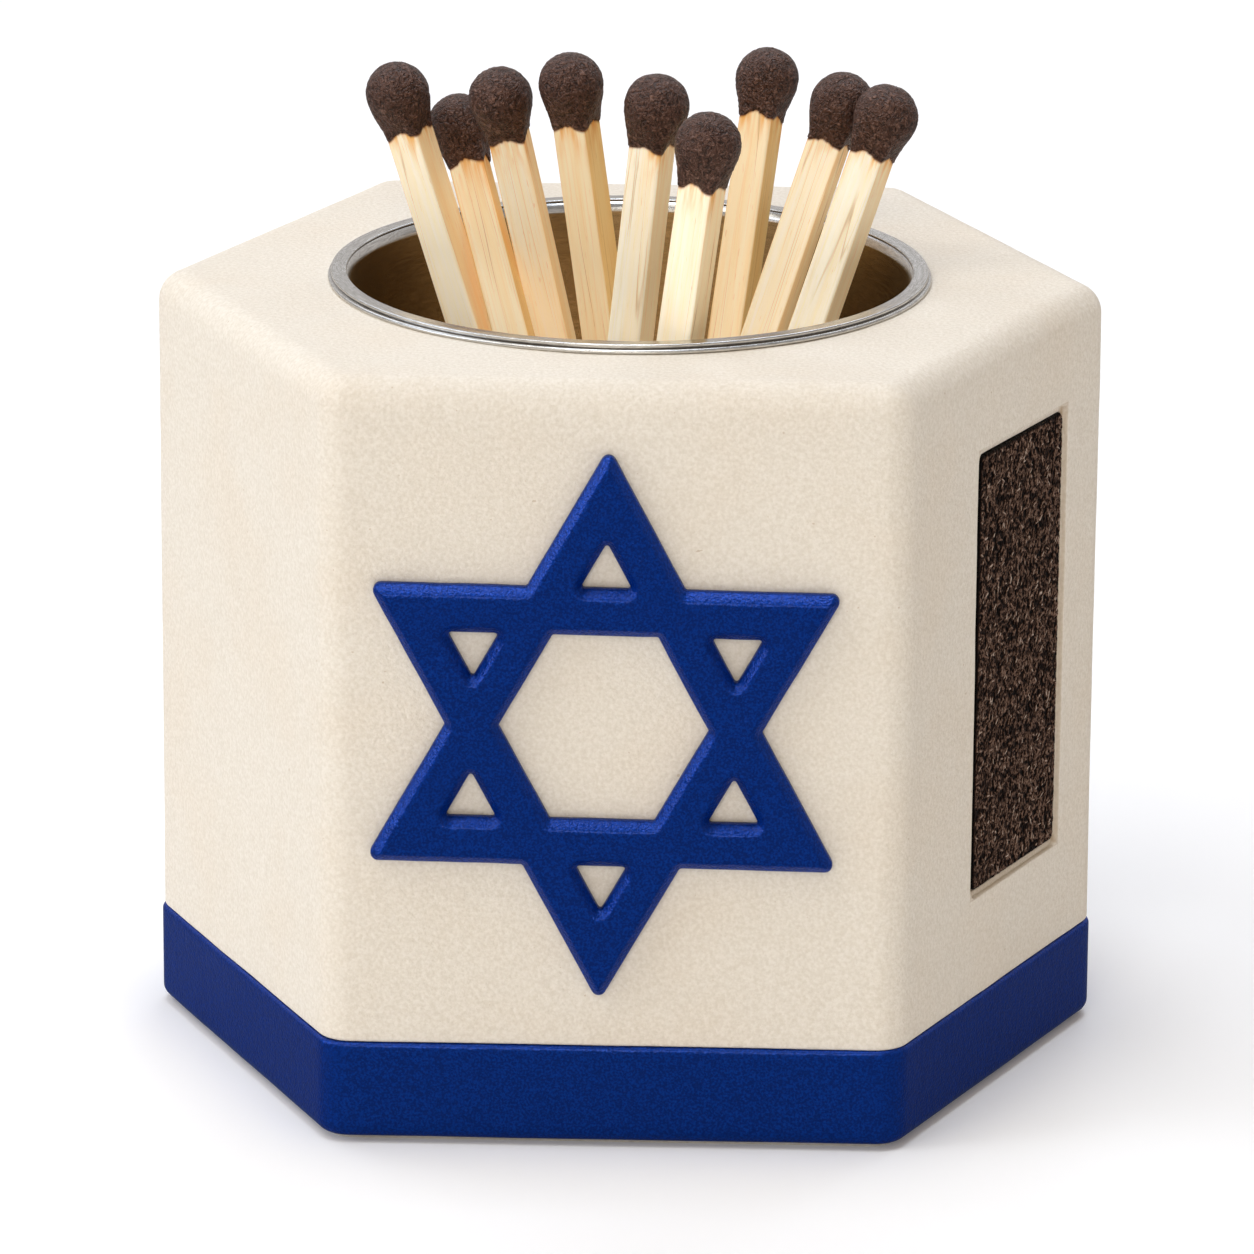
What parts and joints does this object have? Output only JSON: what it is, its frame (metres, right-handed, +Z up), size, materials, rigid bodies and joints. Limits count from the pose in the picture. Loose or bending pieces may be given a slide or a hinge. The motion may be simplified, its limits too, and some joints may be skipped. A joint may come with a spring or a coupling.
{
  "type": "matchstick holder",
  "caption": "Hexagonal matchstick holder: cast body on a blue base with a raised star on its front, a lift-out steel cup of wooden matches, and a striking pad let into one side.",
  "frame": {"origin": "on the table, under the middle of the holder", "axes": "+X to the right of someone who faces the star, +Y from the star to the back, +Z up"},
  "size_m": [0.0638, 0.0568, 0.0674],
  "materials": {
    "cast_body": "unglazed cast body, cream, matt, fine sandy grain",
    "blue_paint": "deep blue, satin, fine pebbled paint",
    "adhesive": "thin set adhesive",
    "base_pad": "thin off-white anti-slip pad",
    "steel": "stainless, polished rim, wall brushed round",
    "striker_grit": "coarse dark brown striking compound",
    "striker_card": "plain backing card",
    "match_wood": "pale split wood, long grain",
    "match_head": "dark brown match compound, grainy, matt"
  },
  "bodies": {
    "holder": {"body": "cast_body", "base_plinth": "blue_paint", "base_adhesive": "adhesive", "base_pad": "base_pad", "star": "blue_paint", "star_adhesive": "adhesive", "striker_coat": "striker_grit", "striker_card": "striker_card", "striker_tape": "adhesive"},
    "cup": {"cup": "steel"},
    "match_1": {"match_1_stick": "match_wood", "match_1_head": "match_head"},
    "match_2": {"match_2_stick": "match_wood", "match_2_head": "match_head"},
    "match_3": {"match_3_stick": "match_wood", "match_3_head": "match_head"},
    "match_4": {"match_4_stick": "match_wood", "match_4_head": "match_head"},
    "match_5": {"match_5_stick": "match_wood", "match_5_head": "match_head"},
    "match_6": {"match_6_stick": "match_wood", "match_6_head": "match_head"},
    "match_7": {"match_7_stick": "match_wood", "match_7_head": "match_head"},
    "match_8": {"match_8_stick": "match_wood", "match_8_head": "match_head"},
    "match_9": {"match_9_stick": "match_wood", "match_9_head": "match_head"}
  },
  "joints": [
    {"name": "cup_lift", "type": "slide", "parent": "holder", "child": "cup", "axis": [0, 0, 1], "range_m": [0, 0.046]},
    {"name": "match_1_pull", "type": "slide", "parent": "cup", "child": "match_1", "axis": [-0.2957, 0.0065, 0.9552], "range_m": [0, 0.05]},
    {"name": "match_2_pull", "type": "slide", "parent": "cup", "child": "match_2", "axis": [-0.2684, 0.3437, 0.8999], "range_m": [0, 0.05]},
    {"name": "match_3_pull", "type": "slide", "parent": "cup", "child": "match_3", "axis": [-0.1928, -0.2101, 0.9585], "range_m": [0, 0.05]},
    {"name": "match_4_pull", "type": "slide", "parent": "cup", "child": "match_4", "axis": [-0.1295, -0.0871, 0.9878], "range_m": [0, 0.05]},
    {"name": "match_5_pull", "type": "slide", "parent": "cup", "child": "match_5", "axis": [0.1003, -0.1315, 0.9862], "range_m": [0, 0.05]},
    {"name": "match_6_pull", "type": "slide", "parent": "cup", "child": "match_6", "axis": [0.1277, -0.0358, 0.9912], "range_m": [0, 0.05]},
    {"name": "match_7_pull", "type": "slide", "parent": "cup", "child": "match_7", "axis": [0.126, 0.3466, 0.9295], "range_m": [0, 0.05]},
    {"name": "match_8_pull", "type": "slide", "parent": "cup", "child": "match_8", "axis": [0.3098, 0.1506, 0.9388], "range_m": [0, 0.05]},
    {"name": "match_9_pull", "type": "slide", "parent": "cup", "child": "match_9", "axis": [0.3142, 0.138, 0.9393], "range_m": [0, 0.05]}
  ]
}
